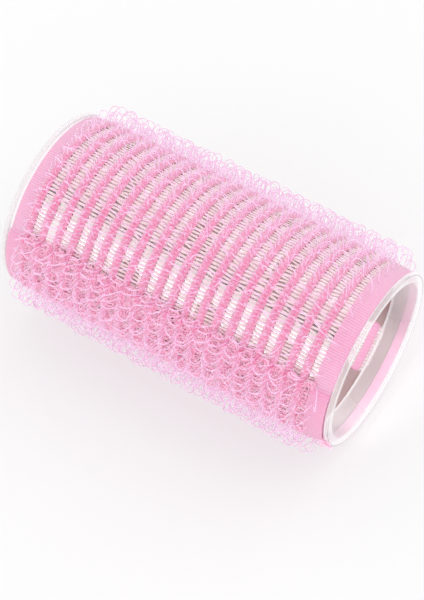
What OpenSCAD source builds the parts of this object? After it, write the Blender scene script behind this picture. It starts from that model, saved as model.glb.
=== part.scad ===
// Self-grip hair roller, lying on its side.
// The barrel's axis runs along X, +Z is up and the floor is at z = 0.
// Angles round the barrel start at the top and grow towards -Y, the side that faces the viewer.

/* [Overall] */
// Length from the end of one end ring to the end of the other
roller_l = 60; // [50:1:80]
// Depth of the flat that the hooks rest on
flat_depth = 0.5; // [0.3:0.1:1]

/* [Barrel] */
// Outer radius of the aluminium barrel
barrel_r = 14.25; // [12:0.05:22]
// Thickness of the barrel's wall
barrel_wall = 0.35; // [0.25:0.05:0.5]

/* [Barrel windows] */
// Columns of windows round the barrel
window_columns = 7; // [5:1:8]
// Distance from one window to the next along a column
window_pitch = 14; // [10:1:18]
// Shift of each column along the barrel from the column before it
window_step = 6; // [2:1:8]
// Place along the barrel of the first column's middle window
window_first_x = 0.2; // [-4:0.1:4]
// Angle of the first column
window_first_angle = 11; // [0:1:50]
// Length of a window, round the barrel
window_l = 8.5; // [5:0.5:9]
// Width of a window, along the barrel
window_w = 3.6; // [2:0.1:4.5]
// Least metal between a window and the end of the barrel
window_margin = 1.5; // [1:0.1:4]

/* [End rings] */
// Height of the collar above the barrel
collar_h = 0.65; // [0.5:0.05:1]
// Thickness of the collar, along the roller
collar_w = 0.7; // [0.5:0.1:1.2]
// Length of the shoulder that the edge of the cloth lies on
shoulder_w = 1.5; // [0.8:0.1:2.5]
// Length of the sleeve inside the barrel
sleeve_w = 2.3; // [1.5:0.1:5]
// Thickness of the sleeve's wall
sleeve_wall = 0.65; // [0.5:0.05:1.5]
// Clearance between the sleeve and the barrel
sleeve_gap = 0.05; // [0.02:0.01:0.1]
// Chamfer on the ring's edges
ring_chamfer = 0.2; // [0.1:0.05:0.25]

/* [Cloth] */
// Gap between the cloth and the left collar
cloth_gap_left = 0.5; // [0.1:0.1:1]
// Gap between the cloth and the right collar
cloth_gap_right = 0.1; // [0.1:0.1:1]
// Thickness of the glue under the cloth
glue_gap = 0.05; // [0.02:0.01:0.1]
// Thickness of the ground that bridges the slots
ground_t = 0.3; // [0.2:0.05:0.4]
// Height of the ribs above the ground
rib_h = 0.4; // [0.2:0.05:0.5]
// Width of the plain band at the left edge
band_left = 3.5; // [1.5:0.05:5]
// Width of the plain band at the right edge
band_right = 3.05; // [1.5:0.05:5]
// Slots between the bands
slot_count = 20; // [14:1:22]
// Width of a slot
slot_w = 1.25; // [0.8:0.05:1.3]
// Angle where the start of the cloth lies
cloth_first_angle = 60; // [40:0.5:80]
// Rows of hooks on the lap, where the free end of the cloth lies over its start
lap_rows = 5; // [2:1:8]

/* [Hooks] */
// Height of the hooks above the ribs
hook_h = 3; // [2:0.1:4]
// Thickness of a hook's filament
hook_t = 0.34; // [0.25:0.01:0.45]
// Distance across the bend of a hook
hook_reach = 0.95; // [0.6:0.05:1.1]
// Height of the bend from the hook's shoulder to its top
hook_bend_h = 0.8; // [0.5:0.05:1]
// Depth of a hook's root in the cloth
hook_root = 0.15; // [0.1:0.05:0.25]

/* [Hidden] */
SMOOTH = 96;
$fn = SMOOTH;
HOOK_SIDES = 3;
// The cloth is divided into lengthwise slices, with this many hooks on each rib of a slice
SLICES = 12;
HOOKS_PER_SLICE = 2;
// Room that a cutter needs past the wall it cuts
CUT = 1;

ring_w = collar_w + shoulder_w + sleeve_w;
barrel_l = roller_l - 2 * (collar_w + shoulder_w);
collar_r = barrel_r + collar_h;
sleeve_r = barrel_r - barrel_wall - sleeve_gap;
bore_r = sleeve_r - sleeve_wall;

cloth_in_r = barrel_r + glue_gap;
ground_r = cloth_in_r + ground_t;
cloth_r = ground_r + rib_h;
hook_r = cloth_r + hook_h;
axis_z = hook_r - flat_depth;
cloth_left = collar_w + cloth_gap_left - roller_l / 2;
cloth_right = roller_l / 2 - collar_w - cloth_gap_right;
cloth_l = cloth_right - cloth_left;
slots_left = cloth_left + band_left;
rib_count = slot_count - 1;
rib_w = (cloth_l - band_left - band_right - slot_count * slot_w) / rib_count;
rib_pitch = rib_w + slot_w;
slice_angle = 360 / SLICES;
hook_angle = slice_angle / HOOKS_PER_SLICE;
// Hooks on neighbouring ribs stand half a step apart, the first ones a quarter step from the cloth's start
half_step = hook_angle / 2;
quarter_step = hook_angle / 4;

lap_in_r = cloth_r + glue_gap;
lap_ground_r = lap_in_r + ground_t;
lap_r = lap_ground_r + rib_h;
// The lap begins between the first two rows of hooks, and covers the rows that stand on it
lap_first_angle = cloth_first_angle + hook_angle / 3;
lap_last_angle = cloth_first_angle + (lap_rows + 1) * half_step;
lap_angle = lap_last_angle - lap_first_angle;

// Part of a filament's thickness that the floor cuts from the hooks that rest on it
floor_bite = hook_t / 4;
// Distance of the bend's highest level from the hook's middle, on the side of its leg
bend_set_back = hook_t / 4;

window_reach = barrel_l / 2 - window_margin - window_w / 2;
window_angle = 360 / window_columns;
window_rows = ceil(roller_l / window_pitch);

// Turns a shape drawn along Z so that it lies along X, at the height of the roller's axis
module on_axis() {
  translate([0, 0, axis_z])
    rotate([0, 90, 0])
      children();
}

// A ring between two radii, from one place along the axis to another
module tube(outer, inner, from, to) {
  translate([0, 0, from])
    difference() {
      cylinder(r = outer, h = to - from);
      translate([0, 0, -CUT])
        cylinder(r = inner, h = to - from + 2 * CUT);
    }
}

// One punched window: an oblong with round ends, standing on the barrel's axis at its top
module window() {
  translate([0, 0, barrel_r - barrel_wall - CUT])
    linear_extrude(barrel_wall + 2 * CUT) {
      square([window_w, window_l - window_w], center = true);
      for (end = [-1, 1])
        translate([0, end * (window_l - window_w) / 2])
          circle(d = window_w);
    }
}

module barrel() {
  color("silver")
    difference() {
      on_axis()
        tube(barrel_r, barrel_r - barrel_wall, -barrel_l / 2, barrel_l / 2);
      for (column = [0 : window_columns - 1])
        for (row = [-window_rows : window_rows]) {
          shift = (column * window_step) % window_pitch;
          x = window_first_x + shift + row * window_pitch;
          if (abs(x) <= window_reach)
            translate([x, 0, axis_z])
              rotate([window_first_angle + column * window_angle, 0, 0])
                window();
        }
    }
}

// Section of an end ring: the collar at the end, the shoulder under the cloth, the sleeve in the barrel
module ring_section() {
  shoulder_end = collar_w + shoulder_w;
  polygon([
    [bore_r + ring_chamfer, 0],
    [collar_r - ring_chamfer, 0],
    [collar_r, ring_chamfer],
    [collar_r, collar_w],
    [barrel_r, collar_w],
    [barrel_r, shoulder_end],
    [sleeve_r, shoulder_end],
    [sleeve_r, ring_w - ring_chamfer],
    [sleeve_r - ring_chamfer, ring_w],
    [bore_r, ring_w],
    [bore_r, ring_chamfer]
  ]);
}

module end_ring(side) {
  color([0.93, 0.93, 0.93, 0.5])
    translate([side * roller_l / 2, 0, axis_z])
      rotate([0, -side * 90, 0])
        rotate_extrude()
          ring_section();
}

module left_end_ring() {
  end_ring(-1);
}

module right_end_ring() {
  end_ring(1);
}

// Section of the cloth: plain bands at both edges, with ribs and slots between them
module cloth_section(inner, ground, outer) {
  difference() {
    translate([inner, cloth_left])
      square([outer - inner, cloth_l]);
    for (slot = [0 : slot_count - 1])
      translate([ground, slots_left + slot * rib_pitch])
        square([outer - ground + CUT, slot_w]);
  }
}

// A slice of the cloth that begins at one angle and covers another
module cloth_slice(first, covers, inner, ground, outer) {
  on_axis()
    rotate(180 + first)
      rotate_extrude(angle = covers)
        cloth_section(inner, ground, outer);
}

// A hook's corner: its level along the filament sets the middle and the lean, the side sets the corner
function hook_points(root, top, way) =
  let (
    t = hook_t / 2,
    flat_t = t * cos(180 / HOOK_SIDES),
    half = hook_reach / 2,
    shoulder = top - hook_bend_h,
    levels = [
      [-half, root, 0],
      [-half, shoulder, 0],
      [-bend_set_back, top - flat_t, 90]
    ]
  )
  concat(
    [
      for (level = levels)
        for (side = [0 : HOOK_SIDES - 1])
          let (
            turn = side * 360 / HOOK_SIDES,
            along = level[0] + t * cos(turn) * cos(level[2]),
            out = level[1] - t * cos(turn) * sin(level[2])
          )
          [way * along, way * t * sin(turn), out]
    ],
    [[way * half, 0, shoulder]]
  );

// Faces of a hook: its root, the walls between its levels and the point
HOOK_FACES = concat(
  [[0, 1, 2]],
  [
    for (level = [0, 1])
      for (side = [0 : HOOK_SIDES - 1])
        let (
          a = level * HOOK_SIDES + side,
          b = level * HOOK_SIDES + (side + 1) % HOOK_SIDES
        )
        each [[a, a + HOOK_SIDES, b], [b, a + HOOK_SIDES, b + HOOK_SIDES]]
  ],
  [
    for (side = [0 : HOOK_SIDES - 1])
      [2 * HOOK_SIDES + side, 3 * HOOK_SIDES, 2 * HOOK_SIDES + (side + 1) % HOOK_SIDES]
  ]
);

// One hook standing on a rib, its point to the right or to the left
// A hook that the floor stops is shorter, and only its bend reaches into the floor
module hook(rib, angle, on_r, way) {
  x = slots_left + slot_w + rib_w / 2 + rib * rib_pitch;
  free_top = hook_r + on_r - cloth_r;
  floor_top = cos(angle) < 0 ? floor_bite - axis_z / cos(angle) : free_top;
  translate([x, 0, axis_z])
    rotate([angle, 0, 0])
      polyhedron(hook_points(on_r - hook_root, min(free_top, floor_top), way), HOOK_FACES);
}

// Hooks on every rib at the angles that lie between two limits, half a step apart on every other rib
// The plain bands have a row too, half as dense, beside the first slot and the last one
module hooks(first, last, on_r, lap) {
  for (rib = [-1 : rib_count])
    for (step = [0 : HOOKS_PER_SLICE * SLICES - 1]) {
      angle = cloth_first_angle + step * hook_angle + quarter_step + abs(rib % 2) * half_step;
      under_lap = angle > lap_first_angle && angle < lap_last_angle;
      on_band = rib < 0 || rib == rib_count;
      even = step % 2 == 0;
      if (angle > first && angle < last && under_lap == lap && (even || !on_band))
        hook(rib, angle, on_r, even ? 1 : -1);
    }
}

// What lies below the floor is cut away, so that the roller stands on a flat of hook tips
module above_floor() {
  difference() {
    children();
    translate([-roller_l, -2 * hook_r, -2 * hook_r])
      cube([2 * roller_l, 4 * hook_r, 2 * hook_r]);
  }
}

module hook_cloth(number) {
  first = cloth_first_angle + (number - 1) * slice_angle;
  color("hotpink")
    above_floor() {
      cloth_slice(first, slice_angle, cloth_in_r, ground_r, cloth_r);
      hooks(first, first + slice_angle, cloth_r, false);
    }
}

module cloth_lap() {
  color("deeppink") {
    cloth_slice(lap_first_angle, lap_angle, lap_in_r, lap_ground_r, lap_r);
    hooks(lap_first_angle, lap_last_angle, lap_r, true);
  }
}

barrel();
left_end_ring();
right_end_ring();
cloth_lap();
hook_cloth(1);  // hook_cloth_01
hook_cloth(2);  // hook_cloth_02
hook_cloth(3);  // hook_cloth_03
hook_cloth(4);  // hook_cloth_04
hook_cloth(5);  // hook_cloth_05
hook_cloth(6);  // hook_cloth_06
hook_cloth(7);  // hook_cloth_07
hook_cloth(8);  // hook_cloth_08
hook_cloth(9);  // hook_cloth_09
hook_cloth(10);  // hook_cloth_10
hook_cloth(11);  // hook_cloth_11
hook_cloth(12);  // hook_cloth_12
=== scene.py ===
# %% [markdown]
# A self-grip hair roller is four things: a punched aluminium barrel, a clear plastic ring in each end,
# and one strip of hook tape rolled round the outside. The packed model holds their true sizes, so it is
# loaded first as a fixed frame, and every piece made below is fitted to it.

# %% Load the frame
import math

import bmesh
import bpy
import numpy as np
from mathutils import Matrix, Vector


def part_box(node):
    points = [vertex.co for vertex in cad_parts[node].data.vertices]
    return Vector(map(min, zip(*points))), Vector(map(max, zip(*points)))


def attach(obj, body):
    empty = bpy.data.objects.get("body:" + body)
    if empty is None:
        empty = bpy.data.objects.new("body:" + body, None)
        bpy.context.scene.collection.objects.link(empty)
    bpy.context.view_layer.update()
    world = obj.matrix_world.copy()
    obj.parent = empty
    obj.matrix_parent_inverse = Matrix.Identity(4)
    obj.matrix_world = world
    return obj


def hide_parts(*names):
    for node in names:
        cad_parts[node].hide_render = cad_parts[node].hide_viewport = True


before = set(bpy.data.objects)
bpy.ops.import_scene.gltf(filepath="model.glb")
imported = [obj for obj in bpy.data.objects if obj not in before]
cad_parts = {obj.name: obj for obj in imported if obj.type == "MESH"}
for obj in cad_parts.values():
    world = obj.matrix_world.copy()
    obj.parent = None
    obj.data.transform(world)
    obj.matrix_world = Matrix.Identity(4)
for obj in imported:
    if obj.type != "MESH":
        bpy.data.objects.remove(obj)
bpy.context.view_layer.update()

MM = 0.001

# %% [markdown]
# The main sizes are read from the frame, so the looks follow the construction if a size changes.
# What the frame can't tell, such as the thickness of a wall, is named in millimetres beside them.

# %% Sizes of the roller
barrel_low, barrel_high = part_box("barrel")
ring_low, ring_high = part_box("right_end_ring")
tape_low, tape_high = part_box("hook_cloth_06")

axis_z = (barrel_low.z + barrel_high.z) / 2
barrel_r = (barrel_high.z - barrel_low.z) / 2
barrel_half = barrel_high.x
collar_r = (ring_high.z - ring_low.z) / 2
roller_half = ring_high.x
barrel_wall = 0.35 * MM
print("barrel radius", round(barrel_r / MM, 2), "axis height", round(axis_z / MM, 2), "mm")

# %% [markdown]
# An operator acts on all that is selected, so selecting comes first. One helper selects a single object,
# and two open and close its edit mode. In edit mode one selects points by their place and one takes them
# all. Loading the frame leaves its nodes selected, so everything is deselected once at the end.

# %% Helpers that select
def only(piece):
    bpy.ops.object.select_all(action="DESELECT")
    piece.select_set(True)
    bpy.context.view_layer.objects.active = piece


def edit(piece):
    only(piece)
    bpy.ops.object.mode_set(mode="EDIT")


def leave_edit():
    bpy.ops.object.mode_set(mode="OBJECT")


def pick(piece, test):
    bpy.context.tool_settings.mesh_select_mode = (True, False, False)
    mesh = bmesh.from_edit_mesh(piece.data)
    for face in mesh.faces:
        face.select = False
    for edge in mesh.edges:
        edge.select = False
    for point in mesh.verts:
        point.select = test(point.co)
    mesh.select_flush_mode()
    bmesh.update_edit_mesh(piece.data)


def take_all():
    bpy.ops.mesh.select_all(action="SELECT")


bpy.ops.object.select_all(action="DESELECT")
print("selected now:", len(bpy.context.selected_objects), "objects")

# %% [markdown]
# More helpers save typing while a piece is shaped. They extrude, move, merge points that meet, turn every
# face outwards, apply a modifier and smooth the edges below an angle. The last one lays an object's own
# turn, size and place into its mesh, so that every finished piece sits at the origin.

# %% Helpers that shape
NEAR = 0.01 * MM
SAME_POINT = NEAR / 10


def near(value, wanted):
    return abs(value - wanted) < NEAR


def extrude(*step):
    bpy.ops.mesh.extrude_region_move(TRANSFORM_OT_translate={"value": step})


def move(*step):
    bpy.ops.transform.translate(value=step)


def merge_points():
    take_all()
    bpy.ops.mesh.remove_doubles(threshold=SAME_POINT)


def face_outwards():
    take_all()
    bpy.ops.mesh.normals_make_consistent(inside=False)


def apply_modifier(piece, kind, **settings):
    only(piece)
    bpy.ops.object.modifier_add(type=kind)
    modifier = piece.modifiers[-1]
    for setting, value in settings.items():
        setattr(modifier, setting, value)
    bpy.ops.object.modifier_apply(modifier=modifier.name)


def smooth(piece, below):
    only(piece)
    bpy.ops.object.shade_smooth_by_angle(angle=below)


def settle(piece, name):
    only(piece)
    bpy.ops.object.transform_apply(location=True, rotation=True, scale=True)
    piece.name = name
    piece.data.name = name
    return piece


print("points closer than", round(SAME_POINT / MM, 4), "mm are merged")

# %% [markdown]
# The camera comes early, so that each new piece can be judged in the picture's frame. It stands high on
# the right, with a long lens, and it looks at the middle of the roller. The small shift moves the roller
# up in the frame without tilting the view.

# %% Camera
CAMERA_TURN = math.radians(32.24)
CAMERA_RISE = math.radians(54.61)
CAMERA_DISTANCE = 336.9 * MM
PICTURE_HEIGHT = 600
FOCAL_PIXELS = 2129.9
SHIFT_PIXELS = (0.8, -23.9)
SENSOR = 36

toward_camera = Vector((
    math.sin(CAMERA_TURN) * math.cos(CAMERA_RISE),
    -math.cos(CAMERA_TURN) * math.cos(CAMERA_RISE),
    math.sin(CAMERA_RISE),
))
look_at = Vector((0, 0, axis_z))
bpy.ops.object.camera_add(
    location=look_at + toward_camera * CAMERA_DISTANCE,
    rotation=(-toward_camera).to_track_quat("-Z", "Y").to_euler(),
)
camera = bpy.context.object
camera.data.sensor_width = SENSOR
camera.data.lens = FOCAL_PIXELS * SENSOR / PICTURE_HEIGHT
camera.data.shift_x = SHIFT_PIXELS[0] / PICTURE_HEIGHT
camera.data.shift_y = SHIFT_PIXELS[1] / PICTURE_HEIGHT
bpy.context.scene.camera = camera
print("lens", round(camera.data.lens, 1), "mm")

# %% [markdown]
# The barrel is a thin aluminium tube. It could be cut out of a solid rod, but a cylinder without caps that
# gets its wall from Solidify has an inside exactly parallel to its outside.

# %% Barrel tube
BARREL_SIDES = 168

bpy.ops.mesh.primitive_cylinder_add(
    vertices=BARREL_SIDES,
    radius=barrel_r,
    depth=2 * barrel_half,
    end_fill_type="NOTHING",
    location=(0, 0, axis_z),
    rotation=(0, math.pi / 2, 0),
)
barrel = settle(bpy.context.object, "barrel_tube")
apply_modifier(barrel, "SOLIDIFY", thickness=barrel_wall, offset=-1)
print("barrel tube:", len(barrel.data.polygons), "faces")

# %% [markdown]
# Oblong windows are punched through the barrel, so that air reaches the hair. They could be drawn into the
# tube's own mesh, but a punch is easier to shape and to move. It is a short cylinder whose two halves are
# pulled apart, which leaves straight sides and round ends.

# %% One punch
WINDOW_LONG = 8.5 * MM
WINDOW_WIDE = 3.6 * MM
PUNCH_SIDES = 32
PUNCH_DEPTH = 3 * MM

bpy.ops.mesh.primitive_cylinder_add(
    vertices=PUNCH_SIDES,
    radius=WINDOW_WIDE / 2,
    depth=PUNCH_DEPTH,
    location=(0, 0, barrel_r),
    rotation=(0, 0, math.pi / PUNCH_SIDES),
)
punch = settle(bpy.context.object, "punch")
edit(punch)
for side in (-1, 1):
    pick(punch, lambda place: place.y * side > 0)
    move(0, side * (WINDOW_LONG - WINDOW_WIDE) / 2, 0)
leave_edit()
print("punch:", round(WINDOW_LONG / MM, 1), "by", round(WINDOW_WIDE / MM, 1), "mm")

# %% [markdown]
# The windows stand in columns along the barrel, and each column starts a step further along than the one
# before, so that they wind round it. The punch is copied to every window, and one Boolean cuts them all.

# %% Windows in the barrel
WINDOW_COLUMNS = 7
WINDOW_PITCH = 14 * MM
WINDOW_STEP = 6 * MM
WINDOW_FIRST_X = 0.2 * MM
WINDOW_FIRST_TURN = math.radians(11)
WINDOW_MARGIN = 1.5 * MM
BARREL_SMOOTH = math.radians(30)

window_reach = barrel_half - WINDOW_MARGIN - WINDOW_WIDE / 2
window_rows = math.ceil(2 * roller_half / WINDOW_PITCH)
punches = []
for column in range(WINDOW_COLUMNS):
    turn = WINDOW_FIRST_TURN + column * 2 * math.pi / WINDOW_COLUMNS
    shift = (column * WINDOW_STEP) % WINDOW_PITCH
    for row in range(-window_rows, window_rows + 1):
        x = WINDOW_FIRST_X + shift + row * WINDOW_PITCH
        if abs(x) <= window_reach:
            copy = punch.copy()
            copy.data = punch.data.copy()
            bpy.context.collection.objects.link(copy)
            copy.matrix_world = Matrix.Translation((x, 0, axis_z)) @ Matrix.Rotation(turn, 4, "X")
            punches.append(copy)
bpy.data.objects.remove(punch)

only(punches[0])
for copy in punches:
    copy.select_set(True)
bpy.ops.object.join()
punch = settle(bpy.context.object, "punch")
apply_modifier(barrel, "BOOLEAN", operation="DIFFERENCE", solver="EXACT", object=punch)
bpy.data.objects.remove(punch)
smooth(barrel, BARREL_SMOOTH)
print("windows:", len(punches), "barrel faces:", len(barrel.data.polygons))

# %% [markdown]
# The end rings are turned shapes: a collar that caps the end, a shoulder that the edge of the tape lies
# on, and a sleeve pressed into the barrel. They could be put together from cylinders, but a section that is
# spun leaves corners that are easy to round. It is drawn as one small plane and grown by extruding its
# edges, and points in the middle of a straight line are dissolved.

# %% Section of an end ring
COLLAR_WIDE = 0.7 * MM
SHOULDER_WIDE = 1.5 * MM
SLEEVE_LONG = 2.3 * MM
SLEEVE_WALL = 0.65 * MM
SLEEVE_GAP = 0.05 * MM
STRAIGHT = math.radians(1)

sleeve_r = barrel_r - barrel_wall - SLEEVE_GAP
bore_r = sleeve_r - SLEEVE_WALL
sleeve_end = roller_half - COLLAR_WIDE - SHOULDER_WIDE - SLEEVE_LONG
shoulder_start = sleeve_end + SLEEVE_LONG
collar_start = roller_half - COLLAR_WIDE

bpy.ops.mesh.primitive_plane_add(
    size=1,
    location=(sleeve_end + SLEEVE_LONG / 2, 0, axis_z + bore_r + SLEEVE_WALL / 2),
    rotation=(math.pi / 2, 0, 0),
)
right_ring = bpy.context.object
right_ring.scale = (SLEEVE_LONG, SLEEVE_WALL, 1)
settle(right_ring, "right_ring")

edit(right_ring)
pick(right_ring, lambda place: near(place.x, shoulder_start))
extrude(SHOULDER_WIDE, 0, 0)
pick(right_ring, lambda place: near(place.x, collar_start))
extrude(COLLAR_WIDE, 0, 0)
pick(right_ring, lambda place: near(place.z, axis_z + sleeve_r) and place.x > shoulder_start - NEAR)
extrude(0, 0, barrel_r - sleeve_r)
pick(right_ring, lambda place: near(place.z, axis_z + barrel_r) and place.x > collar_start - NEAR)
extrude(0, 0, collar_r - barrel_r)
take_all()
bpy.ops.mesh.dissolve_limited(angle_limit=STRAIGHT)
leave_edit()
print("ring section:", len(right_ring.data.vertices), "corners")

# %% [markdown]
# Moulded plastic has no sharp outer corners, so those of the collar and the sleeve are bevelled before
# the section is spun round the axis. The face is deleted first, because only the outline is wanted. The
# left ring is the right one turned over, and its normals are made consistent again afterwards.

# %% Spin the end rings
CORNER_ROUND = 0.2 * MM
CORNER_STEPS = 4
RING_STEPS = 144
RING_SMOOTH = math.radians(35)


def on_outer_corner(place):
    radius = place.z - axis_z
    at_end = near(place.x, roller_half) or near(place.x, sleeve_end)
    return at_end or near(radius, collar_r)


edit(right_ring)
pick(right_ring, on_outer_corner)
bpy.ops.mesh.bevel(offset=CORNER_ROUND, segments=CORNER_STEPS, affect="VERTICES")
take_all()
bpy.ops.mesh.delete(type="ONLY_FACE")
take_all()
bpy.ops.mesh.spin(steps=RING_STEPS, angle=2 * math.pi, center=(0, 0, axis_z), axis=(1, 0, 0))
merge_points()
face_outwards()
leave_edit()
smooth(right_ring, RING_SMOOTH)

bpy.ops.object.duplicate()
left_ring = bpy.context.object
left_ring.name = "left_ring"
edit(left_ring)
take_all()
bpy.ops.transform.resize(value=(-1, 1, 1), center_override=(0, 0, 0))
face_outwards()
leave_edit()
print("rings:", len(right_ring.data.polygons), "faces each")

# %% [markdown]
# The hook tape is woven flat, so it is modelled flat, where it is easy to measure and repeat, and rolled up
# afterwards. While it is flat, x runs across the tape, -y along it and z up from its back. A pick is one
# weft thread, and the length of the tape is a whole number of them. The last part of the tape lies on its
# own start, where it is glued down.

# %% Sizes of the tape
GLUE = 0.05 * MM
RIB_TALL = 0.7 * MM
SLOTS = 20
SLOT_WIDE = 1.25 * MM
BAND_LEFT = 3.5 * MM
BAND_RIGHT = 3.05 * MM
HOOK_TALL = 3.0 * MM
LAP_TURN = math.radians(45)
PICKS_ROUND = 152

tape_left = tape_low.x
tape_right = tape_high.x
ribs_between = SLOTS - 1
rib_wide = (tape_right - tape_left - BAND_LEFT - BAND_RIGHT - SLOTS * SLOT_WIDE) / ribs_between
rib_pitch = rib_wide + SLOT_WIDE
first_slot = tape_left + BAND_LEFT + SLOT_WIDE / 2
first_rib = first_slot - rib_pitch / 2
rib_count = ribs_between + 2

tape_r = barrel_r + GLUE
rib_top_r = tape_r + RIB_TALL
lay_r = tape_r + RIB_TALL / 2
turn_long = 2 * math.pi * lay_r
pick_long = turn_long / PICKS_ROUND
lap_long = LAP_TURN * lay_r
tape_picks = round((turn_long + lap_long) / pick_long)
tape_long = tape_picks * pick_long
print("tape", round((tape_right - tape_left) / MM, 1), "by", round(tape_long / MM, 1), "mm, ribs",
      round(rib_wide / MM, 2), "mm wide")

# %% [markdown]
# Rolled up, the length of the tape becomes an angle and its height a radius. The angle is nought at the
# top and grows towards the front. After one turn the tape climbs on its own start, in a short smooth rise.
# The flat place of each point is kept as an attribute, because the weave follows the tape.

# %% How the tape rolls up
TAPE_FIRST = math.radians(60)
CLIMB_TURN = math.radians(5)

lap_lift = RIB_TALL + GLUE
climb_long = CLIMB_TURN * lay_r


def angle_at(along):
    return TAPE_FIRST + along / lay_r


def lift_at(along):
    share = np.clip((along - turn_long) / climb_long, 0, 1)
    return lap_lift * share * share * (3 - 2 * share)


def roll_up(piece):
    mesh = piece.data
    places = np.empty(len(mesh.vertices) * 3)
    mesh.vertices.foreach_get("co", places)
    places = places.reshape(-1, 3)
    flat = mesh.attributes.new("flat", "FLOAT_VECTOR", "POINT")
    flat.data.foreach_set("vector", (places / MM).ravel())
    along = -places[:, 1]
    radius = tape_r + lift_at(along) + places[:, 2]
    angle = angle_at(along)
    places[:, 1] = -radius * np.sin(angle)
    places[:, 2] = axis_z + radius * np.cos(angle)
    mesh.vertices.foreach_set("co", places.ravel())
    mesh.update()


print("the tape ends at", round(math.degrees(angle_at(tape_long)) - 360), "degrees, after one full turn")

# %% [markdown]
# A rib is a bundle of pile yarns held down by the weft, so it swells a little between one weft thread and
# the next. One such swelling is modelled, as a half-round section extruded in two short steps with the
# middle one made wider.

# %% One swelling of a rib
RIB_SIDES = 14
RIB_SWELL = 1.05

bpy.ops.mesh.primitive_circle_add(
    vertices=RIB_SIDES,
    radius=0.5,
    fill_type="NOTHING",
    rotation=(math.pi / 2, 0, 0),
)
ribs = bpy.context.object
ribs.scale = (rib_wide, 2 * RIB_TALL, 1)
settle(ribs, "hook_tape")
edit(ribs)
pick(ribs, lambda place: place.z < -NEAR)
bpy.ops.mesh.dissolve_verts()
take_all()
for swell in (RIB_SWELL, 1 / RIB_SWELL):
    extrude(0, -pick_long / 2, 0)
    bpy.ops.transform.resize(value=(swell, 1, swell), center_override=(0, 0, 0))
leave_edit()
print("one swelling of a rib:", len(ribs.data.vertices), "points")

# %% [markdown]
# One Array modifier repeats the swelling along the tape. Its copies share their end points, so they are
# merged, and the two ends of the long rib are filled. A second Array repeats the rib across the tape.

# %% Repeat the ribs
def repeat(piece, count, step, joined):
    apply_modifier(
        piece,
        "ARRAY",
        count=count,
        use_relative_offset=False,
        use_constant_offset=True,
        constant_offset_displace=step,
        use_merge_vertices=joined,
        merge_threshold=SAME_POINT,
    )


repeat(ribs, tape_picks, (0, -pick_long, 0), joined=True)
edit(ribs)
merge_points()
for end in (0, -tape_long):
    pick(ribs, lambda place: near(place.y, end))
    bpy.ops.mesh.edge_face_add()
face_outwards()
move(first_rib, 0, 0)
leave_edit()
repeat(ribs, rib_count - 1, (rib_pitch, 0, 0), joined=False)
print("ribs:", rib_count - 1, "with", len(ribs.data.polygons), "faces")

# %% [markdown]
# Along both edges the tape has a plain woven band without pile, the selvedge. Its weft shows as fine
# ridges across it. The left one tucks under the first rib. The right one is wider and runs up to the last
# slot in place of a rib. One ridge is a plane extruded to a low block whose top middle edge is raised, and
# it is repeated like the ribs.

# %% Selvedges
SELVEDGE_TALL = 0.42 * MM
RIDGES_PER_PICK = 1.45
RIDGE_TALL = 0.09 * MM
BAND_TALL = 0.58 * MM
TUCK = 0.3 * MM

ridge_count = round(tape_picks * RIDGES_PER_PICK)
ridge_long = tape_long / ridge_count
first_rib_edge = first_rib - rib_wide / 2
last_slot_edge = first_rib + (rib_count - 1) * rib_pitch - rib_wide / 2


def selvedge(name, outer, inner, inner_tall):
    crest = -ridge_long / 2
    bpy.ops.mesh.primitive_plane_add(size=1, location=((outer + inner) / 2, crest, 0))
    band = bpy.context.object
    band.scale = (abs(inner - outer), ridge_long, 1)
    settle(band, name)
    edit(band)
    take_all()
    bpy.ops.mesh.subdivide(number_cuts=1)
    extrude(0, 0, SELVEDGE_TALL)
    pick(band, lambda place: place.z > NEAR and near(place.x, outer))
    move(0, 0, -SELVEDGE_TALL / 2)
    pick(band, lambda place: place.z > NEAR and near(place.x, inner))
    move(0, 0, inner_tall - SELVEDGE_TALL)
    pick(band, lambda place: place.z > NEAR and near(place.y, crest))
    move(0, 0, RIDGE_TALL)
    pick(band, lambda place: near(place.y, 0) or near(place.y, -ridge_long))
    bpy.ops.mesh.delete(type="ONLY_FACE")
    leave_edit()
    repeat(band, ridge_count, (0, -ridge_long, 0), joined=True)
    return band


left_selvedge = selvedge("left_selvedge", tape_left, first_rib_edge + TUCK, SELVEDGE_TALL)
right_selvedge = selvedge("right_selvedge", tape_right, last_slot_edge, BAND_TALL)
print("selvedges:", ridge_count, "ridges each")

# %% [markdown]
# Weft threads bridge the slots between the ribs. They are flat bundles of clear yarn. The fibres are too
# fine to show, so one thread is a four-sided circle, made flat and extruded in two steps from rib to rib.

# %% One cross thread
THREAD_WIDE = 0.37 * MM
THREAD_THICK = 0.14 * MM
THREAD_IN_RIB = 0.2 * MM

bpy.ops.mesh.primitive_circle_add(vertices=4, radius=0.5, fill_type="NGON", rotation=(0, math.pi / 2, 0))
thread = bpy.context.object
thread.scale = (THREAD_THICK, THREAD_WIDE, 1)
settle(thread, "thread")
half_thread = SLOT_WIDE / 2 + THREAD_IN_RIB
edit(thread)
take_all()
move(-half_thread, 0, 0)
for half in range(2):
    extrude(half_thread, 0, 0)
face_outwards()
leave_edit()
print("one thread:", len(thread.data.polygons), "faces")

# %% [markdown]
# The roller has thousands of threads and hooks. Each kind is modelled once, with few faces, and its copies
# are planted by matrices. As separate objects they would be slow, so the copies of one kind go into one
# new mesh, each with points and faces of its own. A stance is such a matrix: how far a copy is stretched,
# how it is tilted and turned, and where it stands.

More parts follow.
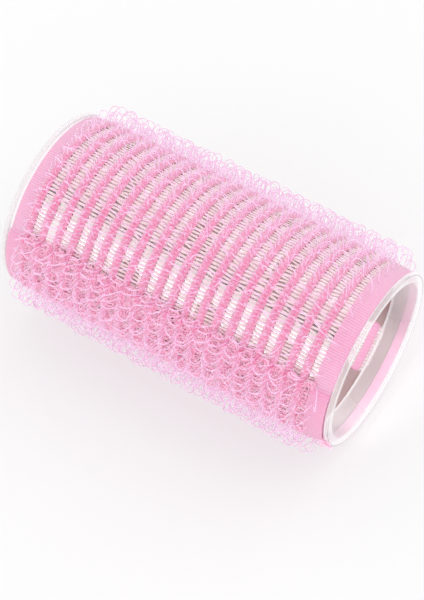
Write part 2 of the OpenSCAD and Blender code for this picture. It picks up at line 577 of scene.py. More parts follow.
# %% Planting copies of one small mesh
def planted(source, matrices, name):
    mesh = source.data
    base = np.array([(*point.co, 1) for point in mesh.vertices])
    faces = [list(face.vertices) for face in mesh.polygons]
    step = len(base)
    places = np.einsum("nij,vj->nvi", np.array(matrices), base)[:, :, :3].reshape(-1, 3)
    all_faces = [[index + copy * step for index in face] for copy in range(len(matrices)) for face in faces]
    grown = bpy.data.meshes.new(name)
    grown.from_pydata(places.tolist(), [], all_faces)
    piece = bpy.data.objects.new(name, grown)
    bpy.context.collection.objects.link(piece)
    return piece


def stance(place, yaw, tilt_x, tilt_y, stretch):
    return (
        Matrix.Translation(place)
        @ Matrix.Rotation(yaw, 4, "Z")
        @ Matrix.Rotation(tilt_x, 4, "X")
        @ Matrix.Rotation(tilt_y, 4, "Y")
        @ Matrix.Diagonal((*stretch, 1))
    )


print("threads to plant:", SLOTS * tape_picks)

# %% [markdown]
# The threads lie a pick apart, and some have slipped, so that neighbours lean together into N and V
# shapes. A seeded draw gives each one its lean, a little drift and a place a little higher or lower.

# %% Plant the cross threads
THREAD_HIGH = 0.12 * MM
THREAD_RISE = (-0.3 * THREAD_THICK, 0.5 * THREAD_THICK)
THREAD_LEAN = 0.16 * MM
LEAN_SHARES = (-1, -0.4, -0.2, 0, 0, 0.2, 0.4, 1)
THREAD_DRIFT = 0.035 * MM
THREAD_SEED = 7

chance = np.random.default_rng(THREAD_SEED)
thread_places = []
for slot in range(SLOTS):
    x = first_slot + slot * rib_pitch
    for number in range(tape_picks):
        along = (number + 0.5) * pick_long
        slant = Matrix.Identity(4)
        slant[1][0] = chance.choice(LEAN_SHARES) * THREAD_LEAN / half_thread
        drift = chance.normal(0, THREAD_DRIFT)
        place = (x, -along + drift, THREAD_HIGH + chance.uniform(*THREAD_RISE))
        thread_places.append(Matrix.Translation(place) @ slant)
threads = planted(thread, thread_places, "cross_threads")
bpy.data.objects.remove(thread)
print("cross threads:", len(thread_places))

# %% [markdown]
# A hook is a nylon filament that stands on a rib and bends over sideways, along the roller. A curve with a
# round section would give it too, but with many more faces. Here the filament starts as a three-sided
# circle. It is extruded up for a leaning leg, spun over for the bend and extruded down for the tip, so one
# hook has only about thirty faces and thousands of them stay light.

# %% One hook
FILAMENT = 0.19 * MM
HOOK_REACH = 1.8 * MM
HOOK_TIP = 0.3 * MM
TIP_LEAN = HOOK_TIP / 3
HOOK_ROOT = 0.45 * MM
HOOK_SINK = 0.12 * MM
LEG_LEANS = (0.08 * MM, 0.22 * MM)
BEND_STEPS = 7


def start_strand(name, sides, thick, turn=(0, 0, 0)):
    bpy.ops.mesh.primitive_circle_add(vertices=sides, radius=thick / 2, fill_type="NGON", rotation=turn)
    strand = settle(bpy.context.object, name)
    edit(strand)
    take_all()
    return strand


bend_r = HOOK_REACH / 2
leg_tall = HOOK_TALL + HOOK_SINK - bend_r - FILAMENT / 2
leg_end = HOOK_ROOT - sum(LEG_LEANS)
hook = start_strand("hook", 3, FILAMENT)
move(HOOK_ROOT, 0, 0)
for lean in LEG_LEANS:
    extrude(-lean, 0, leg_tall / 2)
bpy.ops.mesh.spin(
    steps=BEND_STEPS,
    angle=math.pi,
    center=(leg_end - bend_r, 0, leg_tall),
    axis=(0, 1, 0),
)
extrude(TIP_LEAN, 0, -HOOK_TIP)
merge_points()
face_outwards()
leave_edit()
hook_box = [tuple(round(v / MM, 2) for v in corner) for corner in (hook.bound_box[0], hook.bound_box[6])]
print("one hook:", len(hook.data.polygons), "faces, box in mm", hook_box)

# %% [markdown]
# Hooks stand on every rib at every second pick, staggered from rib to rib, and they bend to the same side,
# because they are cut and set on the loom in rows. Only the first rib's hooks bend the other way, off the
# selvedge, and the two edge rows are half as dense. Every second hook is lower. A seeded turn, tilt and
# height keep the hooks from looking stamped, and one in ten is bent out of its row by wear. No hook is
# planted where the lap covers the start of the tape, and those over the floor are kept short of it.

# %% Plant the hooks
HOOK_PIECES = 6
HOOK_PICKS = 2
STAGGER = (0.25, 0.75)
FLOOR_CLEAR = 0.25 * MM
YAW_SPREAD = math.radians(16)
TILT_SPREAD = math.radians(7)
WORN_SHARE = 0.1
WORN_TIMES = 3
SIDE_DRIFT = 0.12 * MM
TALL_ROW = (0.9, 1.0)
LOW_ROW = (0.65, 0.9)
HOOK_SEED = 21


def room_over_floor(along):
    fall = -math.cos(angle_at(along))
    if fall <= 0:
        return HOOK_TALL
    return (axis_z - FLOOR_CLEAR) / fall - rib_top_r


chance = np.random.default_rng(HOOK_SEED)
hook_places = [[] for piece in range(HOOK_PIECES)]
for rib in range(rib_count):
    x = first_rib + rib * rib_pitch
    at_edge = rib in (0, rib_count - 1)
    side = math.pi if rib == 0 else 0
    stands_on = BAND_TALL if rib == rib_count - 1 else RIB_TALL
    for number in range(tape_picks // HOOK_PICKS):
        along = (number + STAGGER[rib % 2]) * HOOK_PICKS * pick_long
        worn = WORN_TIMES if chance.random() < WORN_SHARE else 1
        yaw = side + chance.normal(0, YAW_SPREAD * worn)
        tilt_x = chance.normal(0, TILT_SPREAD * worn)
        tilt_y = chance.normal(0, TILT_SPREAD * worn)
        tall = chance.uniform(*(LOW_ROW if number % 2 else TALL_ROW))
        drift_x = chance.normal(0, SIDE_DRIFT)
        drift_y = chance.normal(0, SIDE_DRIFT)
        if along < lap_long or (at_edge and number % 2):
            continue
        tall = min(tall, room_over_floor(along) / HOOK_TALL)
        place = (x + drift_x, -along + drift_y, stands_on - HOOK_SINK)
        piece = int((along - lap_long) / turn_long * HOOK_PIECES)
        hook_places[min(piece, HOOK_PIECES - 1)].append(stance(place, yaw, tilt_x, tilt_y, (1, 1, tall)))
piles = [
    planted(hook, places, f"hook_pile_{number + 1}")
    for number, places in enumerate(hook_places)
]
print("hooks:", sum(len(places) for places in hook_places), "in", len(piles), "pieces")

# %% [markdown]
# A hook is made by cutting a woven loop on one side, so a straight cut leg stays behind. Such short legs
# stand close together on the ribs. Seen from above they hardly show, but towards the edge of the roller
# they veil the slots. One is a three-sided circle extruded once, and its copies lean by a seeded angle.

# %% Cut legs
LEGS_PER_PICK = 2
LEG_FILAMENT = 0.15 * MM
LEG_TALL = (1.0, 1.8)
LEG_LEAN = math.radians(10)
LEG_SPREAD = 0.4
LEG_SEED = 33

leg = start_strand("leg", 3, LEG_FILAMENT)
extrude(0, 0, MM)
face_outwards()
leave_edit()

chance = np.random.default_rng(LEG_SEED)
leg_places = []
for rib in range(rib_count - 1):
    x = first_rib + rib * rib_pitch
    for number in range(LEGS_PER_PICK * tape_picks):
        along = (number + 0.5) * pick_long / LEGS_PER_PICK
        tall = min(chance.uniform(*LEG_TALL), room_over_floor(along) / MM)
        drift = chance.uniform(-LEG_SPREAD, LEG_SPREAD) * rib_wide
        tilt_x = chance.normal(0, LEG_LEAN)
        tilt_y = chance.normal(0, LEG_LEAN)
        if along > lap_long:
            place = (x + drift, -along, RIB_TALL / 2)
            leg_places.append(stance(place, 0, tilt_x, tilt_y, (1, 1, tall)))
legs = planted(leg, leg_places, "cut_legs")
bpy.data.objects.remove(leg)
print("cut legs:", len(leg_places))

# %% [markdown]
# The start of the tape lies under its other end. Its hooks are folded flat there, and they fill the slots
# of the lap with a pink tangle, except for one stretch where the threads still show. A simulation could
# fold them, but no single hook can be made out there. So the same hook is made smaller and laid flat along
# the slot, one way or the other, at a seeded turn.

# %% Crushed hooks under the lap
CRUSHED_STRETCHES = ((0.5 * MM, 5.2 * MM), (7.0 * MM, 11.0 * MM))
CRUSHED_PER_MM = 17
CRUSHED_HIGH = (0.8 * MM, 1.35 * MM)
CRUSHED_SPREAD = 0.25
CRUSHED_SIZE = (0.7, 0.7, 0.7)
CRUSHED_TILT = math.radians(10)
CRUSHED_YAW = math.radians(22)
CRUSHED_SEED = 5
HOOK_MIDDLE = Matrix.Translation((0.5 * MM, 0, -HOOK_TALL / 2))

chance = np.random.default_rng(CRUSHED_SEED)
crushed_places = []
for slot in range(SLOTS):
    x = first_slot + slot * rib_pitch
    for start, end in CRUSHED_STRETCHES:
        for number in range(round((end - start) / MM * CRUSHED_PER_MM)):
            drift = chance.uniform(-CRUSHED_SPREAD, CRUSHED_SPREAD) * SLOT_WIDE
            along = chance.uniform(start, end)
            place = (x + drift, -along, chance.uniform(*CRUSHED_HIGH))
            yaw = math.pi * chance.integers(2) + chance.normal(0, CRUSHED_YAW)
            lie_flat = math.pi / 2 + chance.normal(0, CRUSHED_TILT)
            crushed_places.append(stance(place, yaw, lie_flat, 0, CRUSHED_SIZE) @ HOOK_MIDDLE)
crushed = planted(hook, crushed_places, "crushed_hooks")
bpy.data.objects.remove(hook)
print("crushed hooks:", len(crushed_places))

# %% [markdown]
# The tape is cut straight across at its free end, and the cut frays. One loose end is a short filament: a
# four-sided circle that is extruded twice and droops a little.

# %% One loose end
FRAY_LONG = 0.45 * MM
FRAY_DROPS = (0.02 * MM, -0.06 * MM)

loose = start_strand("loose_end", 4, FILAMENT, (math.pi / 2, 0, 0))
for drop in FRAY_DROPS:
    extrude(0, -FRAY_LONG, drop)
face_outwards()
leave_edit()
print("one loose end:", len(loose.data.polygons), "faces")

# %% [markdown]
# Loose ends are copied to the end of every rib with a seeded splay. A longer tuft hangs out sideways at
# the right-hand corner. One function turns and stretches the ends of both kinds.

# %% Frayed end of the tape
FRAY_PER_RIB = 6
FRAY_SPREAD = 0.45
FRAY_HIGH = (0.15, 0.75)
FRAY_SPLAY = math.radians(20)
FRAY_DIP = math.radians(14)
FRAY_TIMES = (0.6, 1.5)
TUFT_ENDS = 16
TUFT_IN = (0.1, 0.9)
TUFT_BACK = (0.1, 1.0)
TUFT_HIGH = (0.15, 0.6)
TUFT_TURN = math.radians(60)
TUFT_SPLAY = math.radians(16)
TUFT_DIP = math.radians(10)
TUFT_TIMES = (1.6, 2.6)
FRAY_SEED = 11

chance = np.random.default_rng(FRAY_SEED)


def loose_end(place, turn, splay, dip, times):
    yaw = turn + chance.normal(0, splay)
    tilt = chance.normal(0, dip)
    return stance(place, yaw, tilt, 0, (1, chance.uniform(*times), 1))


loose_places = []
for rib in range(rib_count):
    for number in range(FRAY_PER_RIB):
        x = first_rib + rib * rib_pitch + chance.uniform(-FRAY_SPREAD, FRAY_SPREAD) * rib_wide
        place = (x, -tape_long + FRAY_LONG / 2, chance.uniform(*FRAY_HIGH) * RIB_TALL)
        loose_places.append(loose_end(place, 0, FRAY_SPLAY, FRAY_DIP, FRAY_TIMES))
for number in range(TUFT_ENDS):
    x = tape_right - chance.uniform(*TUFT_IN) * MM
    y = -tape_long + chance.uniform(*TUFT_BACK) * MM
    place = (x, y, chance.uniform(*TUFT_HIGH) * RIB_TALL)
    loose_places.append(loose_end(place, TUFT_TURN, TUFT_SPLAY, TUFT_DIP, TUFT_TIMES))
fray = planted(loose, loose_places, "frayed_end")
bpy.data.objects.remove(loose)
print("loose ends:", len(loose_places))

# %% [markdown]
# The tape is whole now, so the selvedges join the ribs, and everything that was made flat is rolled on
# the barrel in one go.

# %% Roll the tape on the barrel
TAPE_SMOOTH = math.radians(60)

rib_faces = len(ribs.data.polygons)
only(ribs)
left_selvedge.select_set(True)
right_selvedge.select_set(True)
bpy.ops.object.join()
tape = bpy.context.object
for piece in (tape, threads, legs, crushed, fray, *piles):
    roll_up(piece)
smooth(tape, TAPE_SMOOTH)
print("tape rolled up:", len(tape.data.polygons), "faces")

# %% [markdown]
# Materials and the world are built from nodes. A small helper adds a node and fills its sockets. A plain
# value is set on the socket itself, and the output of another node is linked to it, so each recipe below
# reads from top to bottom in the order in which the pattern is made.

# %% Helper for nodes
class Nodes:
    def __init__(self, owner):
        owner.use_nodes = True
        self.tree = owner.node_tree

    def fill(self, node, sockets):
        for socket, value in sockets.items():
            if isinstance(value, bpy.types.NodeSocket):
                self.tree.links.new(value, node.inputs[socket])
            else:
                node.inputs[socket].default_value = value

    def add(self, kind, sockets, **settings):
        node = self.tree.nodes.new("ShaderNode" + kind)
        for setting, value in settings.items():
            setattr(node, setting, value)
        self.fill(node, sockets)
        return node

    def place(self, source):
        return self.add("TexCoord", {}).outputs[source]

    def noise(self, where, scale, detail):
        noise = self.add("TexNoise", {"Vector": where, "Scale": scale, "Detail": detail})
        return noise.outputs["Fac"]

    def compute(self, operation, *numbers):
        return self.add("Math", dict(enumerate(numbers)), operation=operation).outputs["Value"]

    def map_range(self, value, **ends):
        sockets = {name.replace("_", " "): end for name, end in ends.items()}
        return self.add("MapRange", {"Value": value, **sockets}).outputs["Result"]

    def ramp(self, share, *stops):
        node = self.add("ValToRGB", {"Fac": share})
        elements = node.color_ramp.elements
        for element, (position, colour) in zip(elements, (stops[0], stops[-1])):
            element.position = position
            element.color = colour
        for position, colour in stops[1:-1]:
            elements.new(position).color = colour
        return node.outputs["Color"]

    def mix(self, share, first, second, **settings):
        return self.add("Mix", {"Factor": share, "A": first, "B": second}, **settings).outputs["Result"]


print("the node helper has", [name for name in vars(Nodes) if not name.startswith("_")])

# %% [markdown]
# A recipe is one material. It starts with the usual shader, and it can end with a second one mixed in,
# such as a share of light that passes through from behind. A colour is written as its screen values and
# turned into the linear values that a shader wants.

# %% Helper for materials
class Recipe(Nodes):
    def __init__(self, name):
        self.material = bpy.data.materials.new(name)
        super().__init__(self.material)
        self.shader = self.tree.nodes["Principled BSDF"]

    def set(self, **sockets):
        self.fill(self.shader, {name.replace("_", " "): value for name, value in sockets.items()})

    def bump(self, height, strength, distance):
        bump = self.add("Bump", {"Height": height, "Strength": strength, "Distance": distance})
        self.set(Normal=bump.outputs["Normal"])

    def finish_with(self, first, second, share):
        mixed = self.add("MixShader", {"Fac": share, 1: first.outputs[0], 2: second.outputs[0]})
        self.fill(self.tree.nodes["Material Output"], {"Surface": mixed.outputs["Shader"]})
        return mixed

    def glow_through(self, colour, share):
        return self.finish_with(self.shader, self.add("BsdfTranslucent", {"Color": colour}), share)


def shade(red, green, blue):
    def linear(level):
        share = level / 255
        return share / 12.92 if share <= 0.04045 else ((share + 0.055) / 1.055) ** 2.4
    return (linear(red), linear(green), linear(blue), 1)


print("a pink in linear values:", [round(v, 2) for v in shade(255, 160, 200)])

# %% [markdown]
# Rolled aluminium has fine lines along the rolling direction that blur its reflections unevenly. A noise
# that is stretched round the barrel gives both the lines and the roughness, and it needs no picture. The
# outside is bright. The inside is left dull, so it scatters light instead of mirroring it, and its colour
# is painted darker and pinker, a painted shade with painted pink light for the dim inside of the barrel.

# %% Aluminium
LINE_SCALE = (6000, 250, 250)
LINE_DETAIL = 3
LINE_BUMP = 0.08
LINE_DEPTH = 0.02 * MM


def rolled_metal(name, low_tone, high_tone, metallic, low_rough, high_rough):
    recipe = Recipe(name)
    stretched = recipe.add("Mapping", {"Vector": recipe.place("Object"), "Scale": LINE_SCALE})
    lines = recipe.noise(stretched.outputs["Vector"], 1, LINE_DETAIL)
    recipe.set(
        Metallic=metallic,
        Base_Color=recipe.ramp(lines, (0, low_tone), (1, high_tone)),
        Roughness=recipe.map_range(lines, To_Min=low_rough, To_Max=high_rough),
    )
    recipe.bump(lines, LINE_BUMP, LINE_DEPTH)
    return recipe


bright_metal = rolled_metal(
    "bright_aluminium", shade(238, 235, 234), shade(254, 252, 252),
    metallic=0.8, low_rough=0.06, high_rough=0.14,
)
# Its darker, pinker colour is painted shade and painted pink light for the dim inside.
dull_shaded_metal = rolled_metal(
    "dull_shaded_aluminium", shade(176, 148, 150), shade(206, 188, 187),
    metallic=0.15, low_rough=0.4, high_rough=0.55,
)
print("materials:", bright_metal.material.name, dull_shaded_metal.material.name)

# %% [markdown]
# The rings are clear moulded plastic, thin enough that it hardly bends what is behind it. So it is made
# see-through and not refracting: a share of the white plastic and the rest the view behind. A fine noise
# gives it the uneven gloss of a moulding.

# %% Clear plastic
HAZE_SCALE = 700
HAZE_DETAIL = 2
HAZE_BUMP = 0.1
HAZE_DEPTH = 0.05 * MM

clear = Recipe("clear_plastic")
on_ring = clear.place("Object")
haze = clear.noise(on_ring, HAZE_SCALE, HAZE_DETAIL)
clear.set(IOR=1.49, Roughness=clear.map_range(haze, To_Min=0.14, To_Max=0.32))
clear.bump(haze, HAZE_BUMP, HAZE_DEPTH)
print("material:", clear.material.name)

# %% [markdown]
# The outermost edge of the end face is painted grey, a painted reflection of the grey of the room, which
# draws the thin outline of clear plastic. It is found by its distance from the axis and along it.

# %% Outline of the clear plastic
RIM_LINE = 0.4 * MM
RING_WHITE = shade(251, 250, 251)
PAINTED_RIM_GREY = shade(150, 148, 148)

from_axis = clear.add("Mapping", {"Vector": on_ring, "Location": (0, 0, -axis_z), "Scale": (0, 1, 1)})
radius = clear.add("VectorMath", {0: from_axis.outputs["Vector"]}, operation="LENGTH").outputs["Value"]
outermost = clear.map_range(radius, From_Min=collar_r - RIM_LINE, From_Max=collar_r - RIM_LINE / 2)
from_middle = clear.compute("ABSOLUTE", clear.add("SeparateXYZ", {"Vector": on_ring}).outputs["X"])
on_end = clear.compute("GREATER_THAN", from_middle, roller_half - NEAR)
rim = clear.compute("MULTIPLY", outermost, on_end)
# Painted reflection: the outermost rim of the end face is painted grey.
clear.set(Base_Color=clear.ramp(rim, (0, RING_WHITE), (1, PAINTED_RIM_GREY)))
print("grey outline from radius", round((collar_r - RIM_LINE) / MM, 2), "mm")

# %% [markdown]
# Layer Weight makes the plastic denser where it is seen edge-on, and the last of the sleeve is cloudy. The
# larger of the two is how much of the plastic shows.

# %% Density of the clear plastic
CLOUDY_END = 0.45 * MM

edge_on = clear.add("LayerWeight", {"Blend": 0.35}).outputs["Facing"]
dense = clear.map_range(edge_on, To_Min=0.18, To_Max=0.85)
cloudy = clear.map_range(
    from_middle,
    From_Min=sleeve_end + CLOUDY_END,
    From_Max=sleeve_end + CLOUDY_END - CORNER_ROUND,
    To_Max=0.9,
)
clear.set(Alpha=clear.compute("MAXIMUM", dense, cloudy))
print("cloudy for", round(CLOUDY_END / MM, 2), "mm")

# %% [markdown]
# Clear plastic carries light to its cut edges, so the end of the sleeve shows as a bright line inside the
# barrel. Those few faces get a white finish of their own, a painted bright line that stands for that light.

# %% Sleeve edge painted bright
EDGE_GRAIN_SCALE = 2500
EDGE_GRAIN_DETAIL = 2
EDGE_GLOW = 0.3

painted_edge = Recipe("painted_light_edge")
edge_grain = painted_edge.noise(painted_edge.place("Object"), EDGE_GRAIN_SCALE, EDGE_GRAIN_DETAIL)
white = painted_edge.ramp(edge_grain, (0, shade(246, 244, 245)), (1, shade(255, 255, 255)))
painted_edge.set(Base_Color=white)
painted_edge.glow_through(white, EDGE_GLOW)
print("material:", painted_edge.material.name)

# %% [markdown]
# The tape is dyed nylon cloth. To model every yarn would take millions of faces, so the material draws the
# weave. It follows the tape, so it reads the flat coordinates that were stored before the tape was rolled
# up. A wave across the tape draws the weft and a noise varies the dye. At a scale of 1 a wave is a tenth of
# pi long, so its scale is that length over the pitch of the weft. Where the tape lies on itself, the pink
# is painted deeper, a painted shade for the two layers that let less light through. Layer Weight paints the
# cloth paler where it is seen at a slant, a painted sheen like that of fuzzy yarn, and a little real sheen
# adds to it. Light also comes through the cloth from behind. Its back, which shows in the windows of the
# barrel, is paler, partly as a paler ground weave and partly as painted light that came through the cloth.

# %% Pink cloth
PAINTED_SHEEN_PINK = shade(255, 240, 255)
LAP_SHADE = (1.0, 0.76, 0.9, 1)
WAVE_LONG = math.pi / 10
WEFT_WAVE = {"Distortion": 1.5, "Detail": 2, "Detail Scale": 2}
DYE_SCALE = (6, 2, 6)
DYE_DETAIL = 4
DYE_SHARE = 0.65
WEAVE_BUMP = 0.35
WEAVE_DEPTH = 0.06 * MM


def cloth(name, deep, light, wave_pitch, sheen, painted_sheen, glow):
    recipe = Recipe(name)
    flat = recipe.add("Attribute", {}, attribute_name="flat").outputs["Vector"]
    wave = {"Vector": flat, "Scale": WAVE_LONG / (wave_pitch / MM), **WEFT_WAVE}
    weft = recipe.add("TexWave", wave, wave_type="BANDS", bands_direction="Y").outputs["Fac"]
    stretched = recipe.add("Mapping", {"Vector": flat, "Scale": DYE_SCALE}).outputs["Vector"]
    dye = recipe.noise(stretched, 1, DYE_DETAIL)
    weave = recipe.mix(DYE_SHARE, weft, dye, data_type="FLOAT")
    one_layer = recipe.ramp(weave, (0.25, deep), (0.75, light))
    # Painted shade: where the tape lies on itself, the pink is multiplied deeper.
    lap_shade_share = recipe.map_range(
        recipe.add("SeparateXYZ", {"Vector": flat}).outputs["Y"],
        From_Min=-turn_long / MM,
        From_Max=-(turn_long + climb_long) / MM,
    )
    pink = recipe.mix(lap_shade_share, one_layer, LAP_SHADE, data_type="RGBA", blend_type="MULTIPLY")
    # Painted sheen: Layer Weight mixes the pink towards a pale pink where the cloth is seen at a slant.
    slant = recipe.compute("SQRT", recipe.add("LayerWeight", {}).outputs["Facing"])
    painted_sheen_share = recipe.map_range(slant, To_Max=painted_sheen)
    recipe.set(
        Base_Color=recipe.mix(painted_sheen_share, pink, PAINTED_SHEEN_PINK, data_type="RGBA"),
        Roughness=0.55,
        Sheen_Weight=sheen,
        Sheen_Roughness=0.35,
    )
    recipe.bump(weave, WEAVE_BUMP, WEAVE_DEPTH)
    recipe.glow_through(pink, glow)
    return recipe


rib_cloth = cloth(
    "rib_cloth", shade(235, 113, 163), shade(239, 168, 200), pick_long,
    sheen=0.9, painted_sheen=0.55, glow=0.2,
)
edge_cloth = cloth(
    "selvedge_cloth", shade(240, 163, 201), shade(244, 209, 231), ridge_long,
    sheen=0.9, painted_sheen=0.6, glow=0.35,
)
# The back is paler, partly a paler ground weave and partly painted light that came through the cloth.
back_cloth = cloth(
    "tape_back", shade(255, 186, 224), shade(255, 206, 236), pick_long,
    sheen=0.2, painted_sheen=0, glow=0.1,
)
print("materials:", rib_cloth.material.name, edge_cloth.material.name, back_cloth.material.name)

# %% [markdown]
# The weft threads and the hooks are undyed or faintly dyed nylon, which light passes through. The threads
# are nearly white. The hooks are a pale lilac pink, a little deeper in places, the cut legs are paler
# still, and the crushed hooks have a warmer pink and let nothing behind them show.

# %% Clear filament
STREAK_DETAIL = 3


def filament(name, deep, light, grain, rough, glow, density):
    recipe = Recipe(name)
    flat = recipe.add("Attribute", {}, attribute_name="flat").outputs["Vector"]
    streak = recipe.noise(flat, grain, STREAK_DETAIL)
    tone = recipe.ramp(streak, (0.3, deep), (0.7, light))
    recipe.set(Base_Color=tone, Roughness=rough)
    solid = recipe.glow_through(tone, glow)
    if density < 1:
        recipe.finish_with(recipe.add("BsdfTransparent", {}), solid, density)
    return recipe


thread_nylon = filament(
    "weft_nylon", shade(251, 229, 233), shade(254, 243, 244),
    grain=3, rough=0.3, glow=0.15, density=0.65,
)
hook_nylon = filament(
    "hook_nylon", shade(249, 209, 240), shade(255, 239, 255),
    grain=1.4, rough=0.3, glow=0.4, density=0.55,
)
leg_nylon = filament(
    "leg_nylon", shade(254, 234, 254), shade(255, 252, 255),
    grain=1.4, rough=0.3, glow=0.5, density=0.42,
)
crushed_nylon = filament(
    "crushed_nylon", shade(255, 211, 234), shade(255, 241, 249),
    grain=2, rough=0.4, glow=0.4, density=1,
)
for recipe in (thread_nylon, hook_nylon, leg_nylon, crushed_nylon):
    print("material:", recipe.material.name)

# %% [markdown]
# Each piece gets its finish, the body that it moves with and the nodes that it stands for. The roller has
# no joints, so everything rides on the one body. The barrel's inner wall is dull and its colour is painted
# shade. The inner end of each ring's sleeve is painted white, a painted bright line of carried light.

# %% Dress the barrel and the rings
CUT_EDGE = 0.5


def dress(piece, recipe, slot, *nodes):
    piece.data.materials.clear()
    piece.data.materials.append(recipe.material)
    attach(piece, "root")
    if nodes:
        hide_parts(*nodes)


def outward(face):
    return Vector((0, face.center.y, face.center.z - axis_z))


dress(barrel, bright_metal, "aluminium_barrel", "barrel")
barrel.data.materials.append(dull_shaded_metal.material)
for face in barrel.data.polygons:
    if face.normal.dot(outward(face)) < 0 and abs(face.normal.x) < CUT_EDGE:
        face.material_index = 1

dress(left_ring, clear, "clear_plastic", "left_end_ring")
dress(right_ring, clear, "clear_plastic", "right_end_ring")
for ring in (left_ring, right_ring):
    # The inner end of each sleeve gets the white edge, a painted bright line of carried light.
    ring.data.materials.append(painted_edge.material)
    for face in ring.data.polygons:
        if abs(face.center.x) < sleeve_end + CORNER_ROUND:
            face.material_index = 1
print("dressed:", barrel.name, left_ring.name, right_ring.name)

# %% [markdown]
# The tape has three finishes: its ribs, its selvedges, and its back wherever a face looks towards the
# axis. It stands for all the nodes of the cloth, and the threads and hooks ride on the same body.

# %% Dress the tape and its pile
BACK_FACING = -0.9

tape_nodes = [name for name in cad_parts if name.startswith("hook_cloth") or name == "cloth_lap"]
dress(tape, rib_cloth, "hook_cloth", *tape_nodes)
tape.data.materials.append(edge_cloth.material)
tape.data.materials.append(back_cloth.material)
which = np.zeros(len(tape.data.polygons), dtype=np.int32)
which[rib_faces:] = 1
for face in tape.data.polygons:
    if face.normal.dot(outward(face).normalized()) < BACK_FACING:
        which[face.index] = 2
tape.data.polygons.foreach_set("material_index", which)
dress(threads, thread_nylon, "hook_cloth")
dress(legs, leg_nylon, "hook_cloth")
dress(crushed, crushed_nylon, "hook_cloth")
dress(fray, crushed_nylon, "hook_cloth")
for pile in piles:
    dress(pile, hook_nylon, "hook_cloth")

# %% [markdown]

# %% [markdown]
# The roller lies on a plain white floor in soft light. The floor's colour and a share of its own glow give
# a background just under white, and the floor keeps the soft shadow of the roller.

# %% Floor
FLOOR_SIZE = 3.0
FLOOR_WHITE = (0.82, 0.82, 0.822, 1)
GLOW_WHITE = (0.955, 0.955, 0.957, 1)
GLOW_SHARE = 0.55

bpy.ops.mesh.primitive_plane_add(size=FLOOR_SIZE, location=(0, 0, 0))
floor = bpy.context.object
floor.name = "floor"
floor_white = Recipe("floor_white")
floor_white.set(Base_Color=FLOOR_WHITE, Roughness=0.9, Specular_IOR_Level=0.1)
floor_glow = floor_white.add("Emission", {"Color": GLOW_WHITE})
floor_white.finish_with(floor_white.shader, floor_glow, GLOW_SHARE)
floor.data.materials.append(floor_white.material)
print("floor:", FLOOR_SIZE, "m")

# %% [markdown]
# The world is plain soft light, and only mirror-like surfaces see its shape. That shape is a painted
# reflection: a ramp over the angle round the roller's axis, which is nought overhead and grows towards
# the front. It is white in front and below and pink behind, a painted reflection of the pile that stands
# round each slot. Overhead the pink dims towards one dark strip, a painted dark reflection that the bright
# barrel shows as a row of dark marks.

# %% What the metal mirrors
DARK_STRIP = math.radians(32)
STRIP_HALF = math.radians(5)
WHITE = (0.85, 0.85, 0.85, 1)
PINK = (1.0, 0.8, 0.94, 1)
GREY = (0.80, 0.50, 0.56, 1)
DIM = (0.40, 0.27, 0.27, 1)
DARK = (0.07, 0.06, 0.06, 1)
# Painted reflection: these stops are what mirror-like surfaces see round the axis.
PAINTED_REFLECTION = [
    (-math.radians(120), WHITE),
    (-math.radians(90), PINK),
    (-math.radians(60), PINK),
    (-math.radians(5), GREY),
    (DARK_STRIP - 3 * STRIP_HALF, DIM),
    (DARK_STRIP - STRIP_HALF, DARK),
    (DARK_STRIP, DARK),
    (DARK_STRIP + STRIP_HALF, WHITE),
]

world = bpy.data.worlds.new("soft_studio")
bpy.context.scene.world = world
sky = Nodes(world)
axes = sky.add("SeparateXYZ", {"Vector": sky.place("Generated")})
to_front = sky.compute("MULTIPLY", axes.outputs["Y"], -1)
round_axis = sky.compute("ARCTAN2", to_front, axes.outputs["Z"])
stops = [((angle + math.pi) / (2 * math.pi), colour) for angle, colour in PAINTED_REFLECTION]
mirrored = sky.ramp(sky.map_range(round_axis, From_Min=-math.pi, From_Max=math.pi), *stops)
print("stops in the mirrored ramp:", len(stops))

# %% [markdown]
# The light itself is an even white. The camera, and what is seen through a clear piece, get the white of
# the background instead, and a mirror gets the ramp.

# %% World
WORLD_LIGHT = (0.98, 0.98, 0.98, 1)
BACKGROUND = (0.95, 0.95, 0.95, 1)

ray = sky.add("LightPath", {}).outputs
seen = sky.compute("MAXIMUM", ray["Is Camera Ray"], ray["Is Transmission Ray"])
plain = sky.mix(seen, WORLD_LIGHT, BACKGROUND, data_type="RGBA")
shown = sky.mix(ray["Is Glossy Ray"], plain, mirrored, data_type="RGBA")
sky.fill(world.node_tree.nodes["Background"], {"Color": shown})
print("world light:", WORLD_LIGHT[0])

# %% [markdown]
# Two sun lamps with very wide discs stand for large soft boxes. The first is high behind the roller and
# gives the faint shadow in front of it. The second is low in front and fills the side that the first
# leaves dim. It is also what the bright barrel mirrors as white in the slots. Each lamp has a direction, a
# disc in degrees and a level, the share of full light that a surface facing the lamp gets.

# %% Lamps
SOFT_BOXES = {
    "soft_box": (Vector((0.25, 0.55, 1.0)), 70, 0.23),
    "front_fill": (Vector((0.15, -1.0, 0.1)), 90, 0.44),
}

for name, (toward, disc, level) in SOFT_BOXES.items():
    bpy.ops.object.light_add(type="SUN", rotation=toward.to_track_quat("Z", "Y").to_euler())
    lamp = bpy.context.object
    lamp.name = name
    lamp.data.angle = math.radians(disc)
    lamp.data.energy = level * math.pi
print("lamps:", list(SOFT_BOXES))

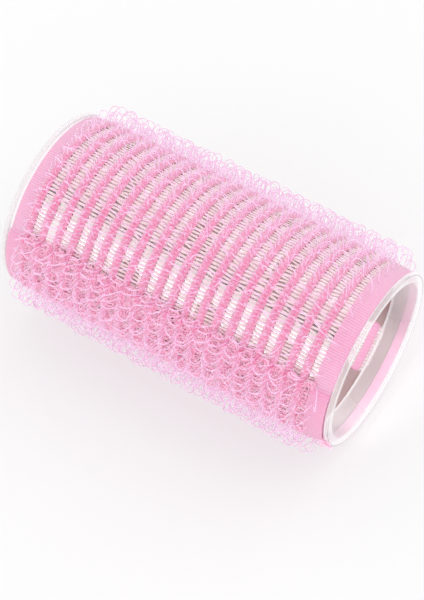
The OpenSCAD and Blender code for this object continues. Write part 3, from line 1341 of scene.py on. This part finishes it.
# %% [markdown]
# On the real roller some light comes in through the cloth and brightens the inside. The mesh of the tape
# is closed and passes too little, so two small lamps in the barrel make up for it. The first is tucked
# behind the near rim of the open end and shines across on the far wall. The second is in the middle, and
# lights what shows through the windows. Neither is seen itself, or mirrored in the metal.

# %% Lamps inside the barrel
MOUTH_FROM = Vector((26.0 * MM, -4.6 * MM, 25.2 * MM))
MOUTH_TO = Vector((22.0 * MM, 3.0 * MM, 4.0 * MM))
MOUTH_CONE = math.radians(70)
MOUTH_BLEND = 0.6
MOUTH_WATTS = 0.0072
MOUTH_SIZE = 1.5 * MM
MIDDLE_WATTS = 0.0026
MIDDLE_SIZE = 4 * MM

mouth_turn = (MOUTH_FROM - MOUTH_TO).to_track_quat("Z", "Y").to_euler()
bpy.ops.object.light_add(type="SPOT", location=MOUTH_FROM, rotation=mouth_turn)
mouth_light = bpy.context.object
mouth_light.name = "mouth_light"
mouth_light.data.spot_size = MOUTH_CONE
mouth_light.data.spot_blend = MOUTH_BLEND
bpy.ops.object.light_add(type="POINT", location=(0, 0, axis_z))
middle_light = bpy.context.object
middle_light.name = "middle_light"
for lamp, watts, size in (
    (mouth_light, MOUTH_WATTS, MOUTH_SIZE),
    (middle_light, MIDDLE_WATTS, MIDDLE_SIZE),
):
    lamp.data.energy = watts
    lamp.data.shadow_soft_size = size
    lamp.visible_camera = False
    lamp.visible_glossy = False
print("lamps inside:", mouth_light.name, middle_light.name)

# %% [markdown]
# The standard view shows colours as they are written. A look through the pile passes many half-clear
# filaments, so light may cross many see-through layers, and it may bounce often between the pale pieces.

# %% View and light paths
SEE_THROUGH_LAYERS = 64
SOFT_BOUNCES = 12

bpy.context.scene.view_settings.view_transform = "Standard"
paths = bpy.context.scene.cycles
paths.transparent_max_bounces = SEE_THROUGH_LAYERS
paths.max_bounces = 2 * SOFT_BOUNCES
paths.diffuse_bounces = SOFT_BOUNCES
paths.glossy_bounces = SOFT_BOUNCES
paths.transmission_bounces = SOFT_BOUNCES
print("see-through layers:", SEE_THROUGH_LAYERS)
